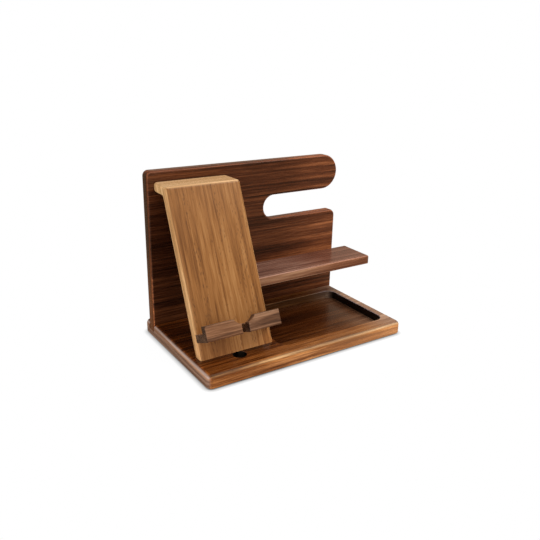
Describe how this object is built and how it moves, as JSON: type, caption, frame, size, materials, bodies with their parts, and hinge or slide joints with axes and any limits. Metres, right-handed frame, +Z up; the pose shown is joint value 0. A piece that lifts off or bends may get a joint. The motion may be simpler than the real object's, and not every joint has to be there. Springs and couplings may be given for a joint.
{
  "type": "wooden docking station",
  "caption": "Wooden bedside docking station with a leaning phone stand, an open-ended watch arm, a glasses shelf, a wallet slot and a tray pocket.",
  "frame": {"origin": "on the table, at the centre of the box round the whole part", "axes": "+Z up, +X to the viewer's right along the shelf and the watch arm, +Y from the front edge to the back panel"},
  "size_m": [0.2742, 0.158, 0.1899],
  "materials": {
    "base_walnut": "oiled walnut, satin",
    "panel_walnut": "oiled walnut, satin",
    "shelf_walnut": "oiled walnut, satin",
    "stand_light_wood": "oiled light hardwood, satin",
    "ledge_walnut": "oiled walnut, satin",
    "tongue_beech": "bare beech",
    "zinc_steel": "zinc-plated",
    "pad_rubber": "matt"
  },
  "bodies": {
    "root": {"base_board": "base_walnut", "back_panel": "panel_walnut", "glasses_shelf": "shelf_walnut", "phone_stand": "stand_light_wood", "phone_ledge_left": "ledge_walnut", "phone_ledge_right": "ledge_walnut", "panel_screws": "zinc_steel", "shelf_tongue": "tongue_beech", "stand_foot_tongue": "tongue_beech", "stand_top_tongue": "tongue_beech", "ledge_tongues": "tongue_beech", "foot_pad_1": "pad_rubber", "foot_pad_2": "pad_rubber", "foot_pad_3": "pad_rubber", "foot_pad_4": "pad_rubber"}
  },
  "joints": []
}
